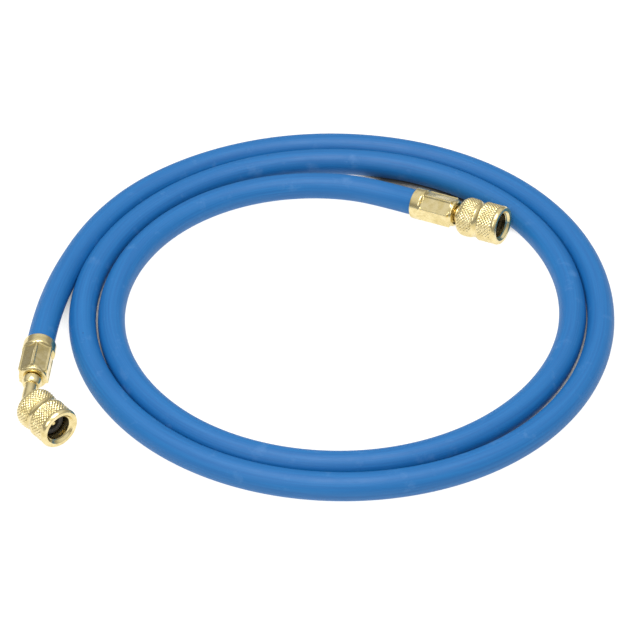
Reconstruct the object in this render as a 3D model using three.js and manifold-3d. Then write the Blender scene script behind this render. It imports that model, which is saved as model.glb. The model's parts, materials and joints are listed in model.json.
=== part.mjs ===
import * as THREE from 'three';
import { mergeVertices } from 'three/addons/utils/BufferGeometryUtils.js';
import Module from 'manifold-3d';

// Refrigerant charging hose, laid down as a flat coil on a level surface.
// Millimetres, +Z up, origin on the surface under the middle of the coil.

const wasm = await Module();
wasm.setup();

// Hose
const hoseDiameter = 11.2;
const hoseBore = 5;
const hoseSides = 12;
const boreSides = 8;
const pathSteps = 80;
const boreOvershoot = 1;

// Route of the hose: the coil winds inwards, and these are the radii of its centreline
// at every eighth of a turn, from the elbow's end to the straight end.
const firstPointAngle = 225;
const pointSpacing = 45;
const coilRadii = [
  141, 117.5, 115, 113, 112.5, 109.5, 108, 105,
  104.5, 104.5, 103, 101.5, 101, 98, 94.5, 93,
  93, 92.5, 90, 83.5, 76, 80,
];
const coilStartAngle = 190;
const coilEndAngle = -652;
const elbowLead = 5;
const straightLead = 6.5;

// The elbow's end rises until its nut lies on the surface. The straight end leans up on
// the turn beside it.
const elbowRiseAngle = 30;
const straightRiseAngle = 9;
const straightTilt = 5.5;

const clearance = 0.3;
const roundSides = 24;

// Crimped ferrule, measured along its axis from the collar's open edge. Six dies press flats
// into it, leave a fin between each two, and squeeze the hose inside. One fin is on top,
// turned towards the right by crimpTurn degrees, seen from the hose.
const ferruleLength = 20;
const ferruleWall = 0.9;
const collarLength = 4.4;
const crimpSqueeze = 1.2;
const crimpFlats = 6;
const crimpTurn = { elbow: 0, straight: 11 };
const finWidth = 1;
const finDrop = 0.15;
const endRingStep = 0.15;
const endRingLength = 1.2;
const frontWall = 1.6;
const collarBore = hoseDiameter + 2 * clearance;
const collarDiameter = collarBore + 2 * ferruleWall;
const collarDepth = collarLength - ferruleWall;
const squeezedHoseDiameter = hoseDiameter - 2 * crimpSqueeze;
const crimpBore = squeezedHoseDiameter + 2 * clearance;
const crimpAcross = crimpBore + 2 * ferruleWall;

// Stem: insert, shoulder, neck and the flange that the nut turns on. The elbow's shoulder
// is a dome.
const insertDiameter = 4.3;
const insertStart = 2.5;
const shoulderDiameter = 8;
const shoulderRound = 0.5;
const shoulderLength = 1.6;
const domeLength = 4.2;
const domeSteps = 4;
const neckDiameter = 5.2;
const stemBore = 2.6;
const flangeDiameter = 10.2;
const flangeThickness = 2;
const elbowNeckLength = 13.4;
const elbowAngle = 45;
const elbowBend = 2;
const neckSides = 16;
const neckSteps = 18;

// Swivel nut, measured along its axis from the rear face
const nutDiameter = 17;
const nutLength = 20;
const nutRearDiameter = 10.4;
const barrelLength = 8;
const waistDiameter = 15.4;
const waistLength = 2.6;
const waistSlope = 0.6;
const lipDiameter = 16;
const lipLength = 1;
const mouthDiameter = 13;
const threadDiameter = 11.1;
const mouthBevel = 1.2;
const rearWall = 8;
const nutSides = 32;

// The barrel swells from the nut's rear face to its full diameter and narrows to the waist.
// Each pair is a share of the barrel's length and a share of that swelling.
const barrelSwell = [[0.1, 0.55], [0.3, 0.92], [0.5, 1], [0.8, 0.95], [1, 0.82]];

// Gasket on the flange, and the valve core depressor in the elbow's gasket
const gasketDiameter = 10;
const gasketBore = 5.4;
const gasketThickness = 4.6;
const depressorDiameter = 4.6;
const depressorArm = 1.4;
const depressorThickness = 1;
const depressorPin = 1.5;
const depressorReach = 2.4;

const hoseRadius = hoseDiameter / 2;
const nutRadius = nutDiameter / 2;
const straightSlope = Math.tan(THREE.MathUtils.degToRad(straightTilt));
const straightRiseLength = THREE.MathUtils.degToRad(straightRiseAngle) * coilRadii.at(-3);
const straightRise = (straightSlope * straightRiseLength) / 2;

const hoseBlue = new THREE.MeshStandardMaterial({ color: '#3a7ac8', roughness: 0.5, metalness: 0 });
const brass = new THREE.MeshStandardMaterial({ color: '#d9c87a', roughness: 0.25, metalness: 1 });
const blackRubber = new THREE.MeshStandardMaterial({ color: '#17181b', roughness: 0.7, metalness: 0 });

// A closed geometry as a solid that can be joined and cut
function solid(geometry) {
  const bare = geometry.clone();
  bare.deleteAttribute('normal');
  bare.deleteAttribute('uv');
  const merged = mergeVertices(bare);
  const vertProperties = new Float32Array(merged.attributes.position.array);
  const triVerts = new Uint32Array(merged.index.array);
  return new wasm.Manifold(new wasm.Mesh({ numProp: 3, vertProperties, triVerts }));
}

// A solid as a named mesh
function meshOf(name, body, material) {
  const { numProp, vertProperties, triVerts } = body.getMesh();
  const geometry = new THREE.BufferGeometry();
  geometry.setAttribute('position', new THREE.BufferAttribute(vertProperties, numProp));
  geometry.setIndex(new THREE.BufferAttribute(triVerts, 1));
  geometry.computeVertexNormals();
  const mesh = new THREE.Mesh(geometry, material);
  mesh.name = name;
  return mesh;
}

// A round or many-sided bar along X, with a flat on top
function bar(from, to, diameter, sides = roundSides) {
  const geometry = new THREE.CylinderGeometry(diameter / 2, diameter / 2, to - from, sides);
  geometry.rotateY(Math.PI / sides);
  geometry.rotateZ(-Math.PI / 2);
  geometry.translate((from + to) / 2, 0, 0);
  return solid(geometry);
}

// A ring turned round X: the outline lists [place along X, radius] and closes on itself
function turned(outline, sides = roundSides) {
  const points = [...outline, outline[0]].map(([along, radius]) => new THREE.Vector2(radius, along));
  const geometry = new THREE.LatheGeometry(points, sides);
  geometry.rotateZ(-Math.PI / 2);
  return solid(geometry);
}

// A bar of even section bent along a path
function pipe(path, diameter, sides, steps) {
  const corner = (index) => {
    const angle = ((index + 0.5) * 2 * Math.PI) / sides;
    return new THREE.Vector2(Math.cos(angle), Math.sin(angle)).multiplyScalar(diameter / 2);
  };
  const section = new THREE.Shape(Array.from({ length: sides }, (_, index) => corner(index)));
  return solid(new THREE.ExtrudeGeometry(section, { steps, bevelEnabled: false, extrudePath: path }));
}

function catmullRom(t, before, start, end, after) {
  const slopeIn = (end - before) / 2;
  const slopeOut = (after - start) / 2;
  const cubic = 2 * (start - end) + slopeIn + slopeOut;
  const square = 3 * (end - start) - 2 * slopeIn - slopeOut;
  return ((cubic * t + square) * t + slopeIn) * t + start;
}

// The coiled stretch of the hose's centreline. It lies on the surface, and rises towards
// both ends.
class CoilCurve extends THREE.Curve {
  getPoint(t, target = new THREE.Vector3()) {
    const angle = THREE.MathUtils.lerp(coilStartAngle, coilEndAngle, t);
    const place = (firstPointAngle - angle) / pointSpacing;
    const index = THREE.MathUtils.clamp(Math.floor(place), 1, coilRadii.length - 3);
    const radius = catmullRom(place - index, ...coilRadii.slice(index - 1, index + 3));
    const nearElbow = 1 - THREE.MathUtils.smoothstep(coilStartAngle - angle, 0, elbowRiseAngle);
    const nearStraight = Math.max(0, 1 - (angle - coilEndAngle) / straightRiseAngle);
    const height = hoseRadius + (nutRadius - hoseRadius) * nearElbow + straightRise * nearStraight ** 2;
    const turn = THREE.MathUtils.degToRad(angle);
    return target.set(radius * Math.cos(turn), radius * Math.sin(turn), height);
  }
}

const coil = new CoilCurve();
coil.arcLengthDivisions = 2000;

// Each end of the hose: where its ferrule begins, and the way it points
function hoseEnd(t, outwards, slope, lead) {
  const level = coil.getTangent(t).multiplyScalar(outwards).setZ(0).normalize();
  const direction = level.setZ(slope).normalize();
  const bendEnd = coil.getPoint(t);
  return { direction, bendEnd, position: bendEnd.clone().addScaledVector(direction, lead) };
}

const elbowEnd = hoseEnd(0, -1, 0, elbowLead);
const straightEnd = hoseEnd(1, 1, straightSlope, straightLead);

function hosePath(extra) {
  const far = (end) => end.position.clone().addScaledVector(end.direction, extra);
  const path = new THREE.CurvePath();
  path.add(new THREE.LineCurve3(far(elbowEnd), elbowEnd.bendEnd));
  path.add(coil);
  path.add(new THREE.LineCurve3(straightEnd.bendEnd, far(straightEnd)));
  return path;
}

// Turns an object's X axis to a direction, with its top still up
function placeAt(object, { position, direction }) {
  object.position.copy(position);
  object.rotation.set(0, -Math.asin(direction.z), Math.atan2(direction.y, direction.x), 'ZYX');
  return object;
}

function makeHose() {
  const tailEnd = ferruleLength - frontWall - clearance;
  const tailAt = (end) => {
    const frame = placeAt(new THREE.Object3D(), end);
    frame.updateMatrix();
    const wide = bar(-clearance, collarDepth - clearance, hoseDiameter - 2 * clearance, hoseSides);
    const narrow = bar(0, tailEnd, squeezedHoseDiameter, hoseSides);
    return wide.add(narrow).transform(frame.matrix.elements);
  };
  const skin = pipe(hosePath(0), hoseDiameter, hoseSides, pathSteps);
  const bore = pipe(hosePath(tailEnd + boreOvershoot), hoseBore, boreSides, pathSteps);
  const body = skin.add(tailAt(elbowEnd)).add(tailAt(straightEnd)).subtract(bore);
  return meshOf('hose', body, hoseBlue);
}

function makeFerrule(name, turn) {
  const crimpCorners = crimpAcross / Math.cos(Math.PI / crimpFlats);
  const crimpEnd = ferruleLength - endRingLength;
  const cornerUp = [180 / crimpFlats, 0, 0];
  const fins = Array.from({ length: crimpFlats / 2 }, (_, index) => {
    const geometry = new THREE.BoxGeometry(crimpEnd - collarDepth, finWidth, collarDiameter - 2 * finDrop);
    geometry.translate((collarDepth + crimpEnd) / 2, 0, 0);
    geometry.rotateX((index * 2 * Math.PI) / crimpFlats);
    return solid(geometry);
  });
  const flats = bar(collarDepth, crimpEnd, crimpCorners, crimpFlats).rotate(cornerUp);
  const crimp = wasm.Manifold.union(fins).add(flats).rotate([turn, 0, 0]);
  const body = crimp
    .add(bar(0, collarLength, collarDiameter))
    .add(bar(collarLength, ferruleLength, crimpAcross - 2 * endRingStep))
    .subtract(bar(-boreOvershoot, collarDepth, collarBore))
    .subtract(bar(0, ferruleLength - frontWall, crimpBore))
    .subtract(bar(0, ferruleLength + boreOvershoot, neckDiameter + 2 * clearance));
  return meshOf(name, body, brass);
}

const shoulderStart = ferruleLength + clearance;
const shoulderEnd = shoulderStart + shoulderLength;
const flangeStart = rearWall + clearance;

// The stem's insert and, ahead of the ferrule, its shoulder: a rounded ring
function stemRear() {
  const shoulder = shoulderDiameter / 2;
  const inside = insertDiameter / 2;
  const insert = bar(insertStart, ferruleLength - frontWall, insertDiameter);
  const ring = turned([
    [shoulderStart, inside],
    [shoulderStart, shoulder - shoulderRound],
    [(shoulderStart + shoulderEnd) / 2, shoulder],
    [shoulderEnd, shoulder - shoulderRound],
    [shoulderEnd, inside],
  ]);
  return insert.add(ring);
}

// The elbow's shoulder narrows to the neck in a quarter of an ellipse
function makeDome() {
  const inside = insertDiameter / 2;
  const swell = (shoulderDiameter - neckDiameter) / 2;
  const middle = (shoulderStart + shoulderEnd) / 2;
  const quarter = Array.from({ length: domeSteps + 1 }, (_, step) => {
    const turn = (step * Math.PI) / (2 * domeSteps);
    const along = middle + (shoulderStart + domeLength - middle) * Math.sin(turn);
    return [along, neckDiameter / 2 + swell * Math.cos(turn)];
  });
  return turned([[middle, inside], ...quarter, [shoulderStart + domeLength, inside]]);
}

function makeStraightStem() {
  const flangeEnd = shoulderEnd + clearance + flangeStart + flangeThickness;
  const neckStart = ferruleLength - frontWall - clearance;
  const body = stemRear()
    .add(bar(neckStart, flangeEnd, neckDiameter))
    .add(bar(flangeEnd - flangeThickness, flangeEnd, flangeDiameter))
    .subtract(bar(insertStart - boreOvershoot, flangeEnd + boreOvershoot, stemBore));
  return meshOf('straight_stem', body, brass);
}

// The elbow's centreline: straight out of the ferrule, round the bend, and on to the flange.
// The nut's rear face stands where the bend ends.
const elbowCorner = new THREE.Vector3(ferruleLength + elbowNeckLength, 0, 0);
const elbowTurn = THREE.MathUtils.degToRad(elbowAngle);
const elbowDirection = new THREE.Vector3(Math.cos(elbowTurn), Math.sin(elbowTurn), 0);
const elbowNutRear = elbowCorner.clone().addScaledVector(elbowDirection, elbowBend);

function elbowPath(from, beyond) {
  const bendStart = elbowCorner.clone().setX(elbowCorner.x - elbowBend);
  const end = elbowNutRear.clone().addScaledVector(elbowDirection, beyond);
  const path = new THREE.CurvePath();
  path.add(new THREE.LineCurve3(new THREE.Vector3(from, 0, 0), bendStart));
  path.add(new THREE.QuadraticBezierCurve3(bendStart, elbowCorner, elbowNutRear));
  path.add(new THREE.LineCurve3(elbowNutRear, end));
  return path;
}

function makeElbowStem() {
  const neckStart = ferruleLength - frontWall - clearance;
  const flangeEnd = flangeStart + flangeThickness;
  const seat = placeAt(new THREE.Object3D(), { position: elbowNutRear, direction: elbowDirection });
  seat.updateMatrix();
  const flange = bar(flangeStart, flangeEnd, flangeDiameter).transform(seat.matrix.elements);
  const neckPath = elbowPath(neckStart, flangeEnd - clearance);
  const borePath = elbowPath(insertStart - boreOvershoot, flangeEnd + boreOvershoot);
  const neck = pipe(neckPath, neckDiameter, neckSides, neckSteps);
  const bore = pipe(borePath, stemBore, boreSides, neckSteps);
  const body = stemRear().add(makeDome()).add(neck).add(flange).subtract(bore);
  return meshOf('elbow_stem', body, brass);
}

function makeNut(name) {
  const outer = nutRadius;
  const rear = nutRearDiameter / 2;
  const waist = waistDiameter / 2;
  const frontStart = barrelLength + waistLength;
  const knurlEnd = nutLength - lipLength;
  const hole = neckDiameter / 2 + clearance;
  const thread = threadDiameter / 2;
  const barrel = barrelSwell.map(([along, swell]) => [barrelLength * along, rear + (outer - rear) * swell]);
  const body = turned([
    [0, hole],
    [0, rear],
    ...barrel,
    [barrelLength + waistLength / 2, waist],
    [frontStart, (waist + outer) / 2],
    [frontStart + waistSlope, outer],
    [knurlEnd, outer],
    [nutLength, lipDiameter / 2],
    [nutLength, mouthDiameter / 2],
    [nutLength - mouthBevel, thread],
    [rearWall, thread],
    [rearWall, hole],
  ], nutSides);
  return meshOf(name, body, brass);
}

// Gasket and depressor lie in the nut, ahead of the stem's flange
const gasketStart = flangeStart + flangeThickness + clearance;

function makeGasket(name) {
  const inner = gasketBore / 2;
  const outer = gasketDiameter / 2;
  const end = gasketStart + gasketThickness;
  const body = turned([[gasketStart, inner], [gasketStart, outer], [end, outer], [end, inner]]);
  return meshOf(name, body, blackRubber);
}

function makeDepressor(name) {
  const middle = gasketStart + gasketThickness / 2;
  const arm = (turn) => {
    const geometry = new THREE.BoxGeometry(depressorThickness, depressorArm, depressorDiameter / 2);
    geometry.translate(middle, 0, depressorDiameter / 4);
    geometry.rotateX(turn);
    return solid(geometry);
  };
  const pin = bar(middle, middle + depressorReach, depressorPin, boreSides);
  const third = (2 * Math.PI) / 3;
  const body = pin.add(arm(0)).add(arm(third)).add(arm(2 * third));
  return meshOf(name, body, brass);
}

// One fitting: its ferrule and stem, and the swivel end that holds nut and gasket
function makeFitting(kind, end, stem, swivelAt) {
  const fitting = placeAt(new THREE.Group(), end);
  const swivel = placeAt(new THREE.Group(), swivelAt);
  swivel.add(makeNut(`${kind}_nut`), makeGasket(`${kind}_gasket`));
  fitting.add(makeFerrule(`${kind}_ferrule`, crimpTurn[kind]), stem, swivel);
  return { fitting, swivel };
}

const chargingHose = new THREE.Group();
const elbow = makeFitting('elbow', elbowEnd, makeElbowStem(), {
  position: elbowNutRear,
  direction: elbowDirection,
});
const straight = makeFitting('straight', straightEnd, makeStraightStem(), {
  position: new THREE.Vector3(shoulderEnd + clearance, 0, 0),
  direction: new THREE.Vector3(1, 0, 0),
});
elbow.swivel.add(makeDepressor('core_depressor'));
chargingHose.add(makeHose(), elbow.fitting, straight.fitting);

// The origin lies on the surface, under the middle of everything
const bounds = new THREE.Box3().setFromObject(chargingHose, true);
const middle = bounds.getCenter(new THREE.Vector3());
chargingHose.position.set(-middle.x, -middle.y, -bounds.min.z);

export default chargingHose;
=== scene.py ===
import json
import math
import bpy
from mathutils import Matrix, Vector


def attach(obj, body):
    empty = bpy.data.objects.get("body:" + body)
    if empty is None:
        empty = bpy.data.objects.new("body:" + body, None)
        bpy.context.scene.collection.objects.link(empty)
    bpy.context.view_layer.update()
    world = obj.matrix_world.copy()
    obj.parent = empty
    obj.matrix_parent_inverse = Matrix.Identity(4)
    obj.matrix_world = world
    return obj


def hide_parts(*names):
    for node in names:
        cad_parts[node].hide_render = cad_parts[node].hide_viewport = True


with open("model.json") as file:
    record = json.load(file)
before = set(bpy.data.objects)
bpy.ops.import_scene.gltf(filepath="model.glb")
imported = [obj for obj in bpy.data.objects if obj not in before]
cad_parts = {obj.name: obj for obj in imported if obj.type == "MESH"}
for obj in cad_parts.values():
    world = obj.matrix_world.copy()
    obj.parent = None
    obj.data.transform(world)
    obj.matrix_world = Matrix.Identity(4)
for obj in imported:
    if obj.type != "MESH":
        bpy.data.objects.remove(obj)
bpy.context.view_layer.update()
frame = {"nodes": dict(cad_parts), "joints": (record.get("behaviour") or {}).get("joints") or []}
mm = 0.001
joints = {joint["name"]: joint for joint in frame["joints"]}
print("frame loaded")

# how the fittings are put together, in mm along their axes
fitting = {
    "ferruleLength": 20.0,
    "shoulderLength": 1.6,
    "domeLength": 4.2,
    "elbowNeck": 13.4,
    "elbowBend": 2.0,
    "elbowAngle": 45.0,
    "nutLength": 20.0,
    "rearWall": 8.0,
    "gap": 0.3,
}
shoulderEnd = fitting["ferruleLength"] + fitting["gap"] + fitting["shoulderLength"]
flangeStart = fitting["rearWall"] + fitting["gap"]


def placeAlong(origin, axis):
    # X runs along the axis, Z stays on top
    x = Vector(axis).normalized()
    y = Vector((0, 0, 1)).cross(x).normalized()
    matrix = Matrix((x, y, x.cross(y))).transposed().to_4x4()
    matrix.translation = origin
    return matrix


def nutPlace(joint):
    # the joint sits at the middle of its nut
    axis = Vector(joint["axis"]).normalized()
    rear = Vector(joint["pos_m"]) - axis * fitting["nutLength"] / 2 * mm
    return placeAlong(rear, axis)


elbowNutPlace = nutPlace(joints["elbow_nut_turn"])
straightNutPlace = nutPlace(joints["straight_nut_turn"])

# each ferrule's open end, walked back from its nut
straightAxis = straightNutPlace.col[0].to_3d()
straightPlace = placeAlong(
    straightNutPlace.translation - straightAxis * (shoulderEnd + fitting["gap"]) * mm, straightAxis)
elbowTurn = Matrix.Rotation(math.radians(-fitting["elbowAngle"]), 3, "Z")
elbowNutAxis = elbowNutPlace.col[0].to_3d()
elbowAxis = elbowTurn @ elbowNutAxis
elbowCorner = elbowNutPlace.translation - elbowNutAxis * fitting["elbowBend"] * mm
elbowPlace = placeAlong(
    elbowCorner - elbowAxis * (fitting["ferruleLength"] + fitting["elbowNeck"]) * mm, elbowAxis)

# camera: long lens, looking down at the coil
camera = {
    "aim": (-0.0003, -0.0105, 0.0056),
    "pitch": 40.5,        # degrees
    "distance": 1.0974,   # m
    "lens": 149.9,        # mm
    "sensor": 36,         # mm
    "nearest": 0.05,      # m
}


def addCamera():
    data = bpy.data.cameras.new("camera")
    data.lens = camera["lens"]
    data.sensor_width = camera["sensor"]
    data.clip_start = camera["nearest"]
    obj = bpy.data.objects.new("camera", data)
    bpy.context.scene.collection.objects.link(obj)
    pitch = math.radians(camera["pitch"])
    back = Vector((0, -math.cos(pitch), math.sin(pitch)))
    obj.location = Vector(camera["aim"]) + back * camera["distance"]
    obj.rotation_euler = (math.pi / 2 - pitch, 0, 0)
    bpy.context.scene.camera = obj


addCamera()
print("camera set")


def colour(hexCode):
    # sRGB hex to linear
    channels = [int(hexCode[i:i + 2], 16) / 255 for i in (1, 3, 5)]
    linear = [c / 12.92 if c <= 0.04045 else ((c + 0.055) / 1.055) ** 2.4 for c in channels]
    return (*linear, 1)


def addNode(tree, kind, settings=None, links=None):
    # settings: attributes, or sockets by name or number; links: socket to the output that feeds it
    node = tree.nodes.new(kind)
    for key, value in (settings or {}).items():
        if isinstance(key, str) and hasattr(node, key):
            setattr(node, key, value)
        else:
            node.inputs[key].default_value = value
    for key, source in (links or {}).items():
        tree.links.new(source, node.inputs[key])
    return node


def newMaterial(name):
    material = bpy.data.materials.new(name)
    material.use_nodes = True
    tree = material.node_tree
    tree.nodes.clear()
    return material, tree


def finishMaterial(tree, shader):
    addNode(tree, "ShaderNodeOutputMaterial", links={"Surface": shader.outputs[0]})


def addRamp(tree, source, stops):
    ramp = addNode(tree, "ShaderNodeValToRGB", links={"Fac": source})
    elements = ramp.color_ramp.elements
    elements[0].position, elements[0].color = stops[0]
    elements[1].position, elements[1].color = stops[-1]
    for position, value in stops[1:-1]:
        elements.new(position).color = value
    return ramp.outputs["Color"]


def grey(value):
    return (value, value, value, 1)


def greyRamp(tree, source, spread, first=0, last=1):
    # runs from one grey to the other where the source lies within the spread
    low, high = spread
    return addRamp(tree, source, [(low, grey(first)), (high, grey(last))])


def noise(tree, vector, scale, detail, roughness=0.5):
    settings = {"Scale": scale, "Detail": detail, "Roughness": roughness}
    return addNode(tree, "ShaderNodeTexNoise", settings, {"Vector": vector}).outputs["Fac"]


def product(tree, first, second):
    return addNode(tree, "ShaderNodeMath", {"operation": "MULTIPLY"}, {0: first, 1: second}).outputs[0]


def blend(tree, mask, under, over):
    # under and over: a colour, or the output that gives one
    settings, links = {"data_type": "RGBA"}, {0: mask}
    for socket, tint in ((6, under), (7, over)):
        group = settings if isinstance(tint, tuple) else links
        group[socket] = tint
    return addNode(tree, "ShaderNodeMix", settings, links).outputs[2]


def bump(tree, height, strength, depth, under=None):
    # depth in mm; under: the normal that this bump is laid on
    links = {"Height": height}
    if under:
        links["Normal"] = under
    settings = {"Strength": strength, "Distance": depth * mm}
    return addNode(tree, "ShaderNodeBump", settings, links).outputs[0]


rubber = {
    "blue": "#146eb0",
    "deepBlue": "#0f64a6",
    "bloom": "#5a8cc2",
    "speckPale": "#c9d8ea",
    "speckDark": "#14305c",
    "roughness": (0.46, 0.60),
    "roughnessSpread": (0.3, 0.75),
    "grain": 0.25,        # mm, the skin's fine matt grain
    "grainDepth": 0.04,   # mm
    "dieLines": 0.9,      # mm between the faint lines that the die leaves
    "lineStretch": 0.02,
    "lineSpread": (0.35, 0.65),
    "lineDepth": 0.05,    # mm
    "scuff": 9.0,         # mm, rubbed patches
    "scuffSpread": (0.58, 0.80),
    "scuffMost": 0.55,
    "speck": 5.0,         # mm between specks
    "speckEdge": (0.045, 0.075),
    "paleAbove": 0.965,   # only the specks with a draw above this are pale
    "darkAbove": 0.975,
    "ior": 1.52,
    "specular": 0.45,
}


def extrudedRubber():
    # EPDM skin, extruded: an even blue with a soft, wide gloss, a fine grain that keeps
    # highlights from being sharp, and faint lines along its length
    material, tree = newMaterial("extruded EPDM rubber")
    spot = addNode(tree, "ShaderNodeTexCoord").outputs["Object"]
    along = addNode(tree, "ShaderNodeUVMap", {"uv_map": "skin"}).outputs["UV"]
    stretch = (rubber["lineStretch"], 1 / rubber["dieLines"], 1)
    stretched = addNode(tree, "ShaderNodeMapping", {"Scale": stretch}, {"Vector": along}).outputs["Vector"]
    lines = noise(tree, stretched, 1.0, 3, 0.6)
    grain = noise(tree, spot, 1 / (rubber["grain"] * mm), 2)
    scuff = noise(tree, spot, 1 / (rubber["scuff"] * mm), 6, 0.65)
    lineMask = greyRamp(tree, lines, rubber["lineSpread"])
    tint = blend(tree, lineMask, colour(rubber["deepBlue"]), colour(rubber["blue"]))
    scuffMask = greyRamp(tree, scuff, rubber["scuffSpread"], last=rubber["scuffMost"])
    tint = blend(tree, scuffMask, tint, colour(rubber["bloom"]))
    speck = addNode(tree, "ShaderNodeTexVoronoi",
                    {"Scale": 1 / (rubber["speck"] * mm)}, {"Vector": spot})
    dot = greyRamp(tree, speck.outputs["Distance"], rubber["speckEdge"], 1, 0)
    draw = addNode(tree, "ShaderNodeSeparateColor", links={0: speck.outputs["Color"]})
    specks = [("Red", rubber["paleAbove"], rubber["speckPale"]),
              ("Green", rubber["darkAbove"], rubber["speckDark"])]
    for channel, least, shade in specks:
        chosen = addNode(tree, "ShaderNodeMath", {"operation": "GREATER_THAN", 1: least},
                         {0: draw.outputs[channel]})
        tint = blend(tree, product(tree, chosen.outputs[0], dot), tint, colour(shade))
    gloss = greyRamp(tree, scuff, rubber["roughnessSpread"], *rubber["roughness"])
    fine = bump(tree, grain, 0.25, rubber["grainDepth"])
    ribbed = bump(tree, lines, 0.3, rubber["lineDepth"], fine)
    shader = addNode(tree, "ShaderNodeBsdfPrincipled",
                     {"IOR": rubber["ior"], "Specular IOR Level": rubber["specular"]},
                     {"Base Color": tint, "Roughness": gloss, "Normal": ribbed})
    finishMaterial(tree, shader)
    return material


brass = {
    "pale": "#f0dfaa",
    "olive": "#d6c284",
    "oilAndShade": "#d8c383",   # cutting oil darkens the thread; the darker colour deep in the bore is also painted shade
    "oilAndShadeDark": "#9c8750",
    "toolMarks": 0.12,    # mm between the lathe's lines, coarser than real so that they show
    "markStretch": 0.05,
    "markDepth": 0.01,    # mm
    "tarnish": 3.0,       # mm
    "tintSpread": (0.3, 0.6),
    "roughnessSpread": (0.35, 0.65),
}


def machinedBrass(name, marks, roughness, pale=brass["pale"], olive=brass["olive"]):
    # free-cutting brass, turned: pale yellow with a bright sheen and fine rings round the axis
    material, tree = newMaterial(name)
    spot = addNode(tree, "ShaderNodeTexCoord").outputs["Object"]
    turned = addNode(tree, "ShaderNodeUVMap", {"uv_map": "skin"}).outputs["UV"]
    stretch = (1 / brass["toolMarks"], brass["markStretch"], 1)
    rings = addNode(tree, "ShaderNodeMapping", {"Scale": stretch}, {"Vector": turned}).outputs["Vector"]
    lines = noise(tree, rings, 1.0, 2)
    patch = noise(tree, spot, 1 / (brass["tarnish"] * mm), 4, 0.6)
    tint = blend(tree, greyRamp(tree, patch, brass["tintSpread"]), colour(olive), colour(pale))
    low, high = roughness
    gloss = greyRamp(tree, patch, brass["roughnessSpread"], high, low)
    shader = addNode(tree, "ShaderNodeBsdfPrincipled", {"Metallic": 1.0},
                     {"Base Color": tint, "Roughness": gloss,
                      "Normal": bump(tree, lines, marks, brass["markDepth"])})
    finishMaterial(tree, shader)
    return material


gasketRubber = {
    "black": "#2c2d30",
    "dust": "#4a4b4f",
    "grain": 0.2,         # mm
    "grainDepth": 0.03,   # mm
    "roughness": 0.55,
    "ior": 1.5,
}


def mouldedRubber():
    # nitrile rubber, moulded: near black, dull, with a trace of dust
    material, tree = newMaterial("moulded nitrile rubber")
    spot = addNode(tree, "ShaderNodeTexCoord").outputs["Object"]
    grain = noise(tree, spot, 1 / (gasketRubber["grain"] * mm), 3)
    tint = blend(tree, grain, colour(gasketRubber["black"]), colour(gasketRubber["dust"]))
    shader = addNode(tree, "ShaderNodeBsdfPrincipled",
                     {"Roughness": gasketRubber["roughness"], "IOR": gasketRubber["ior"]},
                     {"Base Color": tint, "Normal": bump(tree, grain, 0.3, gasketRubber["grainDepth"])})
    finishMaterial(tree, shader)
    return material


hoseSkin = extrudedRubber()
turnedBrass = machinedBrass("machined brass", marks=0.5, roughness=(0.20, 0.32))
knurledBrass = machinedBrass("knurled brass", marks=0.2, roughness=(0.18, 0.30))
crimpedBrass = machinedBrass("crimped brass", marks=0.25, roughness=(0.14, 0.26))
# deep in the bore the thread is darker: cutting oil, and painted shade in the recess
threadBrass = machinedBrass("brass thread with cutting oil and painted shade", marks=0.3, roughness=(0.3, 0.45),
                            pale=brass["oilAndShade"], olive=brass["oilAndShadeDark"])
gasketSkin = mouldedRubber()
print("materials made")

sharpAngle = math.radians(40)


def loft(name, place, outline, sides, relief=None, closed=True, body="coil", node=None,
         inside=None):
    # one ring of points for each (along, radius) of the outline, in mm, joined into a skin.
    # place gives the matrix at a distance along, relief changes a ring's radius point by point,
    # and inside tells which rings take the piece's second material
    points, faces, uvs, second = [], [], [], []
    rings = len(outline)
    angles = [2 * math.pi * side / sides for side in range(sides)]
    for along, radius in outline:
        matrix = place(along)
        for angle in angles:
            reach = relief(along, angle, radius) if relief else radius
            spot = Vector((0, -math.sin(angle) * reach * mm, -math.cos(angle) * reach * mm))
            points.append(matrix @ spot)
    run = [0.0]
    for (s0, r0), (s1, r1) in zip(outline, outline[1:] + outline[:1]):
        run.append(run[-1] + math.hypot(s1 - s0, r1 - r0))
    girth = 2 * math.pi * max(radius for _, radius in outline)
    for ring in range(rings if closed else rings - 1):
        after = (ring + 1) % rings
        within = bool(inside) and inside(*outline[ring]) and inside(*outline[after])
        second += [int(within)] * sides
        here, there = ring * sides, after * sides
        u0, u1 = run[ring], run[ring + 1]
        for side in range(sides):
            beside = (side + 1) % sides
            faces.append((here + side, here + beside, there + beside, there + side))
            v0, v1 = girth * side / sides, girth * (side + 1) / sides
            uvs += [u0, v0, u0, v1, u1, v1, u1, v0]
    if not closed:
        firstEnd = tuple(range(sides))[::-1]
        lastEnd = tuple(range((rings - 1) * sides, rings * sides))
        for end, u in ((firstEnd, run[0]), (lastEnd, run[-2])):
            faces.append(end)
            second.append(0)
            uvs += [u, 0.0] * sides
    mesh = bpy.data.meshes.new(name)
    mesh.from_pydata(points, [], faces)
    mesh.uv_layers.new(name="skin").data.foreach_set("uv", uvs)
    mesh.polygons.foreach_set("use_smooth", [True] * len(faces))
    mesh.polygons.foreach_set("material_index", second)
    mesh.set_sharp_from_angle(angle=sharpAngle)
    piece = bpy.data.objects.new(name, mesh)
    bpy.context.scene.collection.objects.link(piece)
    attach(piece, body)
    if node:
        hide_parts(node)
    return piece


def wear(piece, *materials):
    while len(piece.data.materials) < len(materials):
        piece.data.materials.append(None)
    for index, material in enumerate(materials):
        piece.material_slots[index].material = material


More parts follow.
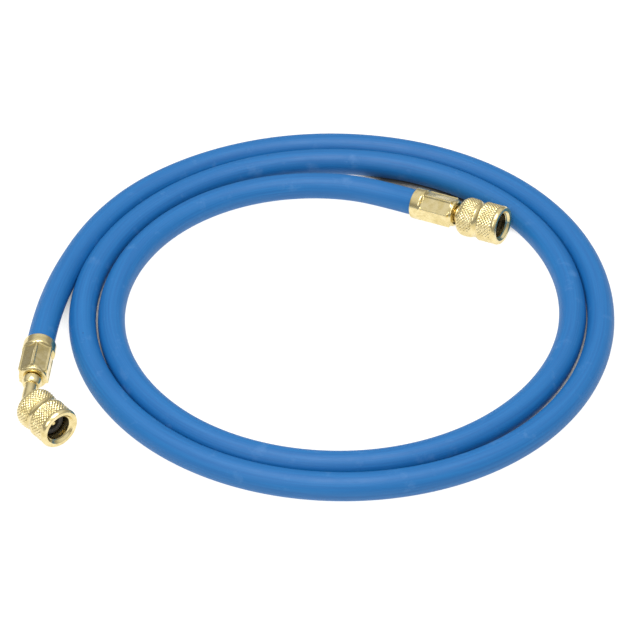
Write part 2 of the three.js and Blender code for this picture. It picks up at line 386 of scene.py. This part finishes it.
def cornered(points, steps=5, share=0.45, least=0.01):
    # rounds each (along, radius, fillet) corner of a closed outline. A fillet takes at most its
    # share of a side, and one below the least is left sharp
    rounded = []
    count = len(points)
    for index, (s, r, fillet) in enumerate(points):
        here = Vector((s, r))
        before = Vector(points[index - 1][:2]) - here
        after = Vector(points[(index + 1) % count][:2]) - here
        reach = min(fillet, before.length * share, after.length * share)
        if reach < least:
            rounded.append((s, r))
            continue
        start, end = here + before.normalized() * reach, here + after.normalized() * reach
        for step in range(steps + 1):
            t = step / steps
            spot = start * (1 - t) ** 2 + here * 2 * t * (1 - t) + end * t ** 2
            rounded.append((spot.x, spot.y))
    return rounded


def closeRows(outline, spacing):
    # more rings where the relief needs them: spacing(along, radius) is the widest step there
    rows = []
    for start, end in zip(outline, outline[1:] + outline[:1]):
        length = math.hypot(end[0] - start[0], end[1] - start[1])
        middle = ((start[0] + end[0]) / 2, (start[1] + end[1]) / 2)
        steps = max(1, math.ceil(length / spacing(*middle)))
        for step in range(steps):
            t = step / steps
            rows.append((start[0] + (end[0] - start[0]) * t, start[1] + (end[1] - start[1]) * t))
    return rows


def smooth(low, high, value):
    t = min(1, max(0, (value - low) / (high - low)))
    return t * t * (3 - 2 * t)


def straightFrom(matrix):
    return lambda along: matrix @ Matrix.Translation((along * mm, 0, 0))


def catmullRom(t, before, start, end, after):
    slopeIn, slopeOut = (end - before) / 2, (after - start) / 2
    cubic = 2 * (start - end) + slopeIn + slopeOut
    square = 3 * (end - start) - 2 * slopeIn - slopeOut
    return ((cubic * t + square) * t + slopeIn) * t + start


# hose: the centreline's radii an eighth of a turn apart, from the elbow inwards. Lengths are in
# metres, angles in degrees
hose = {
    "diameter": 0.0112,
    "radii": [
        0.141, 0.1175, 0.115, 0.113, 0.1125, 0.1095, 0.108, 0.105,
        0.1045, 0.1045, 0.103, 0.1015, 0.101, 0.098, 0.0945, 0.093,
        0.093, 0.0925, 0.09, 0.0835, 0.076, 0.08,
    ],
    "firstAngle": 225,
    "angleStep": 45,
    "startAngle": 190,
    "endAngle": -652,
    "elbowRise": 30,
    "straightRise": 9,
    "elbowLead": 0.005,
    "straightLead": 0.0065,
    "insert": 0.0181,     # how far each end goes into its ferrule
    "fullInsert": 0.0036,
    "pinch": 0.0004,      # length of the step down to the squeezed part
    "squeezed": 0.0088,
    "rings": 460,
    "sides": 32,
}


def coilPoint(angle):
    place = (hose["firstAngle"] - angle) / hose["angleStep"]
    index = min(max(math.floor(place), 1), len(hose["radii"]) - 3)
    radius = catmullRom(place - index, *hose["radii"][index - 1:index + 3])
    rest = hose["diameter"] / 2
    nearElbow = 1 - smooth(0, hose["elbowRise"], hose["startAngle"] - angle)
    slope = straightAxis.z / math.hypot(straightAxis.x, straightAxis.y)
    riseLength = math.radians(hose["straightRise"]) * hose["radii"][-3]
    nearStraight = max(0, 1 - (angle - hose["endAngle"]) / hose["straightRise"])
    height = rest + (elbowPlace.translation.z - rest) * nearElbow
    height += slope * riseLength / 2 * nearStraight ** 2
    turn = math.radians(angle)
    return Vector((radius * math.cos(turn), radius * math.sin(turn), height))


def tailSteps():
    # rings of the tail inside a ferrule, by how far in they are
    full, total = hose["fullInsert"], hose["insert"]
    return [0, full * 0.5, full, full + hose["pinch"], (full + total) / 2, total]


def hoseRoute():
    # the coil's middle is found from the elbow's ferrule, where the hose begins
    start = coilPoint(hose["startAngle"])
    middle = elbowPlace.translation - elbowAxis * hose["elbowLead"] - start
    middle.z = 0
    steps = hose["rings"]
    sweep = hose["endAngle"] - hose["startAngle"]
    coil = [coilPoint(hose["startAngle"] + sweep * step / steps) + middle for step in range(steps + 1)]
    lead = [elbowPlace.translation + elbowAxis * reach for reach in tailSteps()[::-1]]
    end = [coil[-1] + straightAxis * (hose["straightLead"] + reach) for reach in tailSteps()]
    return lead + coil + end


def makeHose():
    route = hoseRoute()
    directions = [(after - before).normalized()
                  for before, after in zip(route[:1] + route[:-1], route[1:] + route[-1:])]
    full, squeezed = hose["diameter"] / 2 / mm, hose["squeezed"] / 2 / mm
    radii = [full] * len(route)
    for index in range(sum(reach > hose["fullInsert"] for reach in tailSteps())):
        radii[index] = radii[-1 - index] = squeezed
    run = [0.0]
    for before, after in zip(route, route[1:]):
        run.append(run[-1] + (after - before).length / mm)
    places = {along: placeAlong(point, direction)
              for along, point, direction in zip(run, route, directions)}
    outline = list(zip(run, radii))
    piece = loft("hose_skin", places.__getitem__, outline, hose["sides"], closed=False,
                 node="hose")
    wear(piece, hoseSkin)
    print("hose length", round(run[-1], 1), "mm")
    return piece, route, round(run[-1] * mm, 3)


hosePiece, hosePath, hoseLength = makeHose()

# sizes in mm; an outline lists (along, radius, fillet)
ferrule = {
    "collar": 13.6,
    "collarLength": 4.4,
    "taper": 1.0,
    "across": 11.3,
    "flats": 6,
    "endRing": 11.4,
    "endRingLength": 1.2,
    "frontEdge": 0.5,
    "hole": 5.8,
    "bore": 9.4,
    "collarBore": 11.8,
    "collarDepth": 3.5,
    "flare": 12.7,
    "flareDepth": 1.0,
    "frontWall": 1.6,
    "fin": 13.5,
    "finWidth": 1.0,
    "finFoot": 0.35,
    "turn": {"elbow": 0, "straight": 11},   # degrees towards -Y from a fin on top
    "skin": 0.3,          # the crimp shapes only what lies this close to the flats, or outside them
    "closeRows": 0.45,
    "wideRows": 3,
    "closeOutside": 5,
    "sides": 300,
}


def crimpRelief(along, angle, radius):
    # six dies press flats into the sleeve and leave a thin fin between each two
    ringStart = fitting["ferruleLength"] - ferrule["endRingLength"]
    inZone = smooth(ferrule["collarLength"], ferrule["collarLength"] + ferrule["taper"], along)
    inZone *= 1 - smooth(ringStart - ferrule["frontEdge"], ringStart, along)
    if radius < ferrule["across"] / 2 - ferrule["skin"] or inZone <= 0:
        return radius
    step = 2 * math.pi / ferrule["flats"]
    off = angle % step - step / 2
    flat = ferrule["across"] / 2 / math.cos(off)
    fromFin = (step / 2 - abs(off)) * ferrule["fin"] / 2
    half = ferrule["finWidth"] / 2
    fin = 1 - smooth(half - ferrule["finFoot"], half + ferrule["finFoot"], fromFin)
    flat += (ferrule["fin"] / 2 - flat) * fin
    return radius + (flat - radius) * inZone


def makeFerrule(kind, place):
    collar, length = ferrule["collar"] / 2, fitting["ferruleLength"]
    ring, neck = ferrule["endRing"] / 2, ferrule["collarLength"]
    ringStart, wall = length - ferrule["endRingLength"], length - ferrule["frontWall"]
    bore = ferrule["collarBore"] / 2
    outline = cornered([
        (ferrule["flareDepth"], bore, 0.4),
        (0, ferrule["flare"] / 2, 0.15),
        (0, collar, 0.2),
        (neck, collar, 0.5),
        (neck + ferrule["taper"], ring, 0.5),
        (ringStart, ring, 0.1),
        (length - ferrule["frontEdge"], ring, 0.35),
        (length, ring - 0.8, 0.2),
        (length, ferrule["hole"] / 2, 0.15),
        (wall, ferrule["hole"] / 2, 0),
        (wall, ferrule["bore"] / 2, 0),
        (ferrule["collarDepth"], ferrule["bore"] / 2, 0.1),
        (ferrule["collarDepth"], bore, 0.1),
    ])

    def spacing(along, radius):
        return ferrule["closeRows"] if radius > ferrule["closeOutside"] else ferrule["wideRows"]

    outline = closeRows(outline, spacing)
    turn = math.radians(ferrule["turn"][kind])
    piece = loft(f"{kind}_crimped_ferrule", straightFrom(place), outline, ferrule["sides"],
                 lambda along, angle, radius: crimpRelief(along, angle + turn, radius),
                 node=f"{kind}_ferrule")
    wear(piece, crimpedBrass)
    return piece


stem = {
    "shoulder": 8.0,
    "shoulderEdge": 0.5,
    "neck": 5.2,
    "bore": 2.6,
    "insert": 4.3,
    "insertStart": 2.5,
    "flange": 10.2,
    "flangeThickness": 2.0,
    "closeRows": 0.35,
    "sides": 64,
}


def roundShoulder(start):
    shoulder, stop = stem["shoulder"] / 2, start + fitting["shoulderLength"]
    edge = shoulder - stem["shoulderEdge"]
    return [
        (start, edge, 0.2),
        ((start + stop) / 2, shoulder, 0.6),
        (stop, edge, 0.3),
        (stop, stem["neck"] / 2, 0.25),
    ]


def domedShoulder(start, steps=12):
    shoulder, neck = stem["shoulder"] / 2, stem["neck"] / 2
    middle = start + fitting["shoulderLength"] / 2
    reach = start + fitting["domeLength"] - middle
    turns = [math.pi / 2 * step / steps for step in range(steps + 1)]
    dome = [(middle + reach * math.sin(turn), neck + (shoulder - neck) * math.cos(turn), 0)
            for turn in turns]
    return [(start, shoulder - stem["shoulderEdge"], 0.3), *dome]


def stemOutline(shoulder, flangeAt):
    neck, bore = stem["neck"] / 2, stem["bore"] / 2
    shoulderStart = fitting["ferruleLength"] + fitting["gap"]
    wall = fitting["ferruleLength"] - ferrule["frontWall"] - fitting["gap"]
    insert, flange = stem["insert"] / 2, stem["flange"] / 2
    flangeStop = flangeAt + stem["flangeThickness"]
    return cornered([
        (stem["insertStart"], bore, 0),
        (stem["insertStart"], insert, 0.2),
        (wall, insert, 0),
        (wall, neck, 0),
        (shoulderStart, neck, 0),
        *shoulder(shoulderStart),
        (flangeAt, neck, 0.1),
        (flangeAt, flange, 0.2),
        (flangeStop, flange, 0.2),
        (flangeStop, bore, 0.2),
    ])


def makeStems():
    straight = stemOutline(roundShoulder, shoulderEnd + fitting["gap"] + flangeStart)
    straightStem = loft("straight_turned_stem", straightFrom(straightPlace), straight, stem["sides"],
                        node="straight_stem")
    wear(straightStem, turnedBrass)

    bendStart = fitting["ferruleLength"] + fitting["elbowNeck"] - fitting["elbowBend"]
    bendLength = fitting["elbowBend"] * 2
    corner = elbowPlace @ Vector(((bendStart + fitting["elbowBend"]) * mm, 0, 0))
    start = elbowPlace @ Vector((bendStart * mm, 0, 0))
    stop = elbowNutPlace.translation

    def bent(along):
        if along <= bendStart:
            return straightFrom(elbowPlace)(along)
        if along >= bendStart + bendLength:
            return straightFrom(elbowNutPlace)(along - bendStart - bendLength)
        t = (along - bendStart) / bendLength
        spot = start * (1 - t) ** 2 + corner * 2 * t * (1 - t) + stop * t ** 2
        return placeAlong(spot, (corner - start) * (1 - t) + (stop - corner) * t)

    flangeAt = bendStart + bendLength + flangeStart
    elbow = closeRows(stemOutline(domedShoulder, flangeAt), lambda along, radius: stem["closeRows"])
    elbowStem = loft("elbow_bent_stem", bent, elbow, stem["sides"], node="elbow_stem")
    wear(elbowStem, turnedBrass)
    return straightStem


nut = {
    "diameter": 17.0,
    "length": fitting["nutLength"],
    "barrel": [
        (0.8, 7.0), (2.4, 8.25), (4.0, 8.5), (6.4, 8.35), (8.0, 7.9), (9.3, 7.7), (10.6, 8.0),
    ],
    "beforeBarrel": (-0.6, 4.4),    # this point and the next length only steer the curve's ends
    "pastBarrel": 1.5,
    "rear": 5.2,
    "frontStart": 11.2,
    "lip": 16.0,
    "lipLength": 1.0,
    "mouth": 13.0,
    "bevel": 1.2,
    "thread": 11.1,
    "threadDepth": 0.6,
    "pitch": 1.27,        # 20 threads an inch
    "threadStart": 15.0,
    "threadFade": 0.5,
    "runOut": (0.4, 0.3),     # the thread fades out from before to past the bevel's start
    "crest": 1.25,        # cuts the crests of the thread flat
    "oilAndShadeTo": 16.6,
    "hole": 5.8,
    "knurls": 36,
    "knurlDepth": 0.38,
    "knurlZones": [(1.2, 8.6), (11.3, 18.3)],
    "knurlFade": 0.6,
    "slack": 0.1,
    "closeRows": 0.16,
    "wideRows": 1.5,
    "closeShortOf": 0.5,      # mm short of the mouth
    "sides": 396,
}


def triangleWave(value):
    return 1 - abs(2 * (value % 1) - 1)


def nutRelief(along, angle, radius):
    if radius > nut["mouth"] / 2 + nut["slack"]:
        # two families of crossing cuts leave pointed diamonds
        fade = nut["knurlFade"]
        zone = max(smooth(start, start + fade, along) * (1 - smooth(stop - fade, stop, along))
                   for start, stop in nut["knurlZones"])
        pitch = math.pi * nut["diameter"] / nut["knurls"]
        around, forward = angle / (2 * math.pi) * nut["knurls"], along / pitch
        diamond = min(triangleWave(around + forward), triangleWave(around - forward))
        return radius - zone * nut["knurlDepth"] * (1 - diamond)
    bevelStart, (before, past) = nut["length"] - nut["bevel"], nut["runOut"]
    atThread = radius > nut["thread"] / 2 - nut["slack"] / 2
    if atThread and nut["threadStart"] < along < bevelStart + past:
        cut = triangleWave(along / nut["pitch"] + angle / (2 * math.pi))
        fade = smooth(nut["threadStart"], nut["threadStart"] + nut["threadFade"], along)
        fade *= 1 - smooth(bevelStart - before, bevelStart + past, along)
        return radius - fade * nut["threadDepth"] * min(1, nut["crest"] * cut)
    return radius


def barrelCurve(points, steps=6):
    curve = []
    for index in range(1, len(points) - 2):
        for step in range(steps):
            curve.append(tuple(catmullRom(step / steps, *[points[index + k][axis] for k in (-1, 0, 1, 2)])
                               for axis in (0, 1)))
    return curve


def makeNut(kind, place, body):
    outer, length, thread = nut["diameter"] / 2, nut["length"], nut["thread"] / 2
    barrel = barrelCurve([nut["beforeBarrel"], (0, nut["rear"]), *nut["barrel"],
                          (nut["frontStart"], outer), (nut["frontStart"] + nut["pastBarrel"], outer)])
    front = cornered([
        (nut["frontStart"], outer, 0.3),
        (length - nut["lipLength"], outer, 0.3),
        (length, nut["lip"] / 2, 0.3),
        (length, nut["mouth"] / 2, 0.2),
        (length - nut["bevel"], thread, 0.2),
        (fitting["rearWall"], thread, 0.2),
        (fitting["rearWall"], nut["hole"] / 2, 0.2),
        (0, nut["hole"] / 2, 0.3),
    ])

    def spacing(along, radius):
        onBarrel = radius > thread + 2 * nut["slack"]
        nearMouth = nut["threadStart"] < along < length - nut["closeShortOf"]
        inThread = nearMouth and radius > thread - nut["slack"]
        return nut["closeRows"] if onBarrel or inThread else nut["wideRows"]

    outline = closeRows(barrel + front, spacing)
    # the nut's bore short of the mouth takes the darker brass: cutting oil, and painted shade
    piece = loft(f"{kind}_knurled_nut", straightFrom(place), outline, nut["sides"], nutRelief,
                 body=body, node=f"{kind}_nut",
                 inside=lambda along, radius: along < nut["oilAndShadeTo"] and radius < thread + nut["slack"])
    wear(piece, knurledBrass, threadBrass)
    return piece


makeFerrule("elbow", elbowPlace)
makeNut("elbow", elbowNutPlace, "elbow_swivel")
straightEnd = [
    makeFerrule("straight", straightPlace),
    makeStems(),
    makeNut("straight", straightNutPlace, "straight_swivel"),
]
print("brass made")

gasket = {
    "start": flangeStart + stem["flangeThickness"] + fitting["gap"],
    "thickness": 4.6,
    "outer": 10.0,
    "inner": 5.4,
    "sides": 64,
}


def makeGasket(kind, place):
    start, stop = gasket["start"], gasket["start"] + gasket["thickness"]
    outline = cornered([
        (start, gasket["inner"] / 2, 0.2),
        (start, gasket["outer"] / 2, 0.4),
        (stop, gasket["outer"] / 2, 0.7),
        (stop, gasket["inner"] / 2, 0.6),
    ])
    piece = loft(f"{kind}_moulded_gasket", straightFrom(place), outline, gasket["sides"],
                 node=f"{kind}_gasket")
    wear(piece, gasketSkin)
    return piece


makeGasket("elbow", elbowNutPlace)
straightEnd.append(makeGasket("straight", straightNutPlace))
wear(frame["nodes"]["core_depressor"], turnedBrass)
print("gaskets made, hose laid")

studio = {
    "floor": 20.0,            # m
    "paper": "#6a6864",
    "paperRoughness": 0.9,
    "paperSpecular": 0.1,
    "glow": 1.0,              # a light table, lit from below; painted shade dims its glow between the turns, and a painted shadow behind the straight end
    "glowSpread": (0.28, 0.46),
    "crevice": 0.015,         # m
    "creviceFacing": (0, -0.85, 0.53),
    "creviceSamples": 16,
    "behind": (0, 9, 0),      # mm from the straight ferrule's open end to the middle of its shade
    "shade": (26, 38),        # mm from there, where the shade begins to fade and where it ends
    "shadeStart": (2, 5),     # mm behind the straight end's axis
    "shadeDepth": 0.45,
    "sky": [(0.0, 0.34), (0.35, 0.34), (0.62, 0.80), (0.9, 0.80), (1.0, 1.1)],   # (height, grey)
    "softboxes": {            # place and size in m, power in W
        "overhead softbox": ((-0.05, -0.1, 1.1), (0.7, 0.6), 6.6),
        "front softbox": ((-0.6, -0.95, 0.85), (0.55, 0.55), 2.7),
    },
}


def addFloor():
    half = studio["floor"] / 2
    mesh = bpy.data.meshes.new("floor")
    corners = [(-half, -half, 0), (half, -half, 0), (half, half, 0), (-half, half, 0)]
    mesh.from_pydata(corners, [], [(0, 1, 2, 3)])
    floor = bpy.data.objects.new("floor", mesh)
    bpy.context.scene.collection.objects.link(floor)
    material, tree = newMaterial("glowing floor with painted shade")
    # painted shade: ambient occlusion, judged towards the front, dims the glow in the crevices between the
    # turns
    facing = addNode(tree, "ShaderNodeCombineXYZ", dict(zip("XYZ", studio["creviceFacing"])))
    openness = addNode(tree, "ShaderNodeAmbientOcclusion",
                       {"samples": studio["creviceSamples"], "Distance": studio["crevice"]},
                       {"Normal": facing.outputs[0]})
    # painted shadow: the glow is dimmed on the strip of floor behind the straight end
    spot = addNode(tree, "ShaderNodeTexCoord").outputs["Object"]
    middle = straightPlace @ (Vector(studio["behind"]) * mm)
    away = addNode(tree, "ShaderNodeVectorMath", {"operation": "DISTANCE", 1: middle}, {0: spot})
    near, far = studio["shade"]
    close = addNode(tree, "ShaderNodeMapRange",
                    {"From Min": near * mm, "From Max": far * mm,
                     "To Min": studio["shadeDepth"], "To Max": 0},
                    {"Value": away.outputs["Value"]})
    rearwards = straightPlace.col[1].to_3d()
    across = addNode(tree, "ShaderNodeVectorMath", {"operation": "DOT_PRODUCT", 1: rearwards}, {0: spot})
    axisAcross = straightPlace.translation.dot(rearwards)
    near, far = studio["shadeStart"]
    rear = addNode(tree, "ShaderNodeMapRange",
                   {"From Min": axisAcross + near * mm, "From Max": axisAcross + far * mm},
                   {"Value": across.outputs["Value"]})
    lit = addNode(tree, "ShaderNodeMath", {"operation": "SUBTRACT"},
                  {0: openness.outputs["AO"], 1: product(tree, close.outputs[0], rear.outputs[0])})
    glow = greyRamp(tree, lit.outputs[0], studio["glowSpread"])
    shader = addNode(tree, "ShaderNodeBsdfPrincipled",
                     {"Base Color": colour(studio["paper"]), "Roughness": studio["paperRoughness"],
                      "Specular IOR Level": studio["paperSpecular"], "Emission Strength": studio["glow"]},
                     {"Emission Color": glow})
    finishMaterial(tree, shader)
    mesh.materials.append(material)


def addLight(name, location, size, power):
    # a softbox that faces the hose
    data = bpy.data.lights.new(name, "AREA")
    data.shape = "RECTANGLE"
    data.size, data.size_y = size
    data.energy = power
    light = bpy.data.objects.new(name, data)
    bpy.context.scene.collection.objects.link(light)
    light.location = location
    light.rotation_euler = (-Vector(location)).to_track_quat("-Z", "Y").to_euler()


def addWorld():
    world = bpy.data.worlds.new("studio")
    bpy.context.scene.world = world
    world.use_nodes = True
    tree = world.node_tree
    tree.nodes.clear()
    spot = addNode(tree, "ShaderNodeTexCoord").outputs["Generated"]
    height = addNode(tree, "ShaderNodeSeparateXYZ", links={0: spot}).outputs["Z"]
    sky = addRamp(tree, height, [(stop, grey(value)) for stop, value in studio["sky"]])
    background = addNode(tree, "ShaderNodeBackground", links={"Color": sky})
    addNode(tree, "ShaderNodeOutputWorld", links={"Surface": background.outputs[0]})


addFloor()
for name, (location, size, power) in studio["softboxes"].items():
    addLight(name, location, size, power)
addWorld()
bpy.context.scene.view_settings.view_transform = "Standard"
print("studio set")
